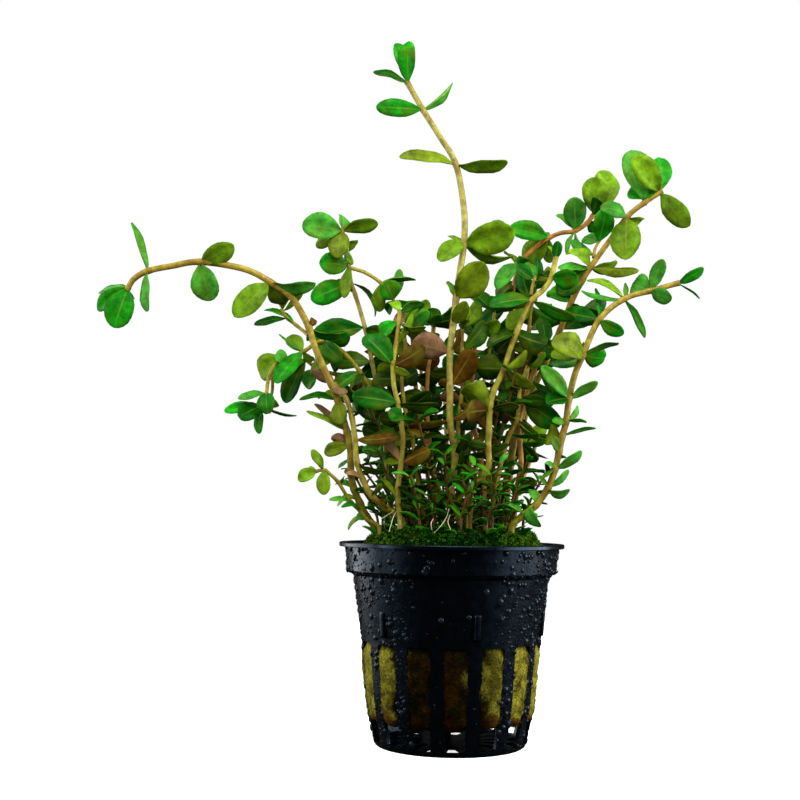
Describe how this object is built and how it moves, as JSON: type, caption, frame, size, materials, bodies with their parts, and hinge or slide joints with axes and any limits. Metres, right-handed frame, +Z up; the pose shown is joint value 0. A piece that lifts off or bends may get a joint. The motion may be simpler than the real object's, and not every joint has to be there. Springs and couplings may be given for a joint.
{
  "type": "potted aquarium stem plant",
  "caption": "Bunch of slender stems with small opposite leaves, rooted in moss and mineral wool in a slotted plastic net pot, as sold for planting in an aquarium.",
  "frame": {"origin": "middle of the flat underside of the pot's floor", "axes": "+Z up along the pot's axis; the front that the picture shows faces -Y; +X to the right as seen from the front"},
  "size_m": [0.1487, 0.0734, 0.1778],
  "materials": {
    "plastic": "black moulded plastic, wet, with beads of water on it",
    "wool": "olive-brown fibrous mineral wool, soaked",
    "moss": "short green moss and algae, rough",
    "plant": "soft living leaves, green above, olive to red-brown below, on straw-brown stems"
  },
  "bodies": {
    "root": {"pot": "plastic", "wool": "wool", "moss": "moss", "shoot_front_left": "plant", "shoot_front_right": "plant", "shoot_front_right_twig": "plant", "shoot_heart": "plant", "shoot_heart_fork": "plant", "shoot_left_arch": "plant", "shoot_left_cluster": "plant", "shoot_left_cluster_twig": "plant", "shoot_left_low": "plant", "shoot_left_rear": "plant", "shoot_left_second": "plant", "shoot_left_twig": "plant", "shoot_left_upper": "plant", "shoot_left_upper_branch": "plant", "shoot_middle_left": "plant", "shoot_middle_olive": "plant", "shoot_middle_rust": "plant", "shoot_middle_thick": "plant", "shoot_rear_arch": "plant", "shoot_rear_left": "plant", "shoot_rear_middle": "plant", "shoot_rear_middle_left": "plant", "shoot_rear_middle_right": "plant", "shoot_rear_right": "plant", "shoot_rear_side_left": "plant", "shoot_rear_side_right": "plant", "shoot_right_long": "plant", "shoot_right_pink": "plant", "shoot_right_rear": "plant", "shoot_right_rust": "plant", "shoot_right_slim": "plant", "shoot_right_upper": "plant", "shoot_right_upper_twig": "plant", "shoot_tall": "plant"}
  },
  "joints": []
}
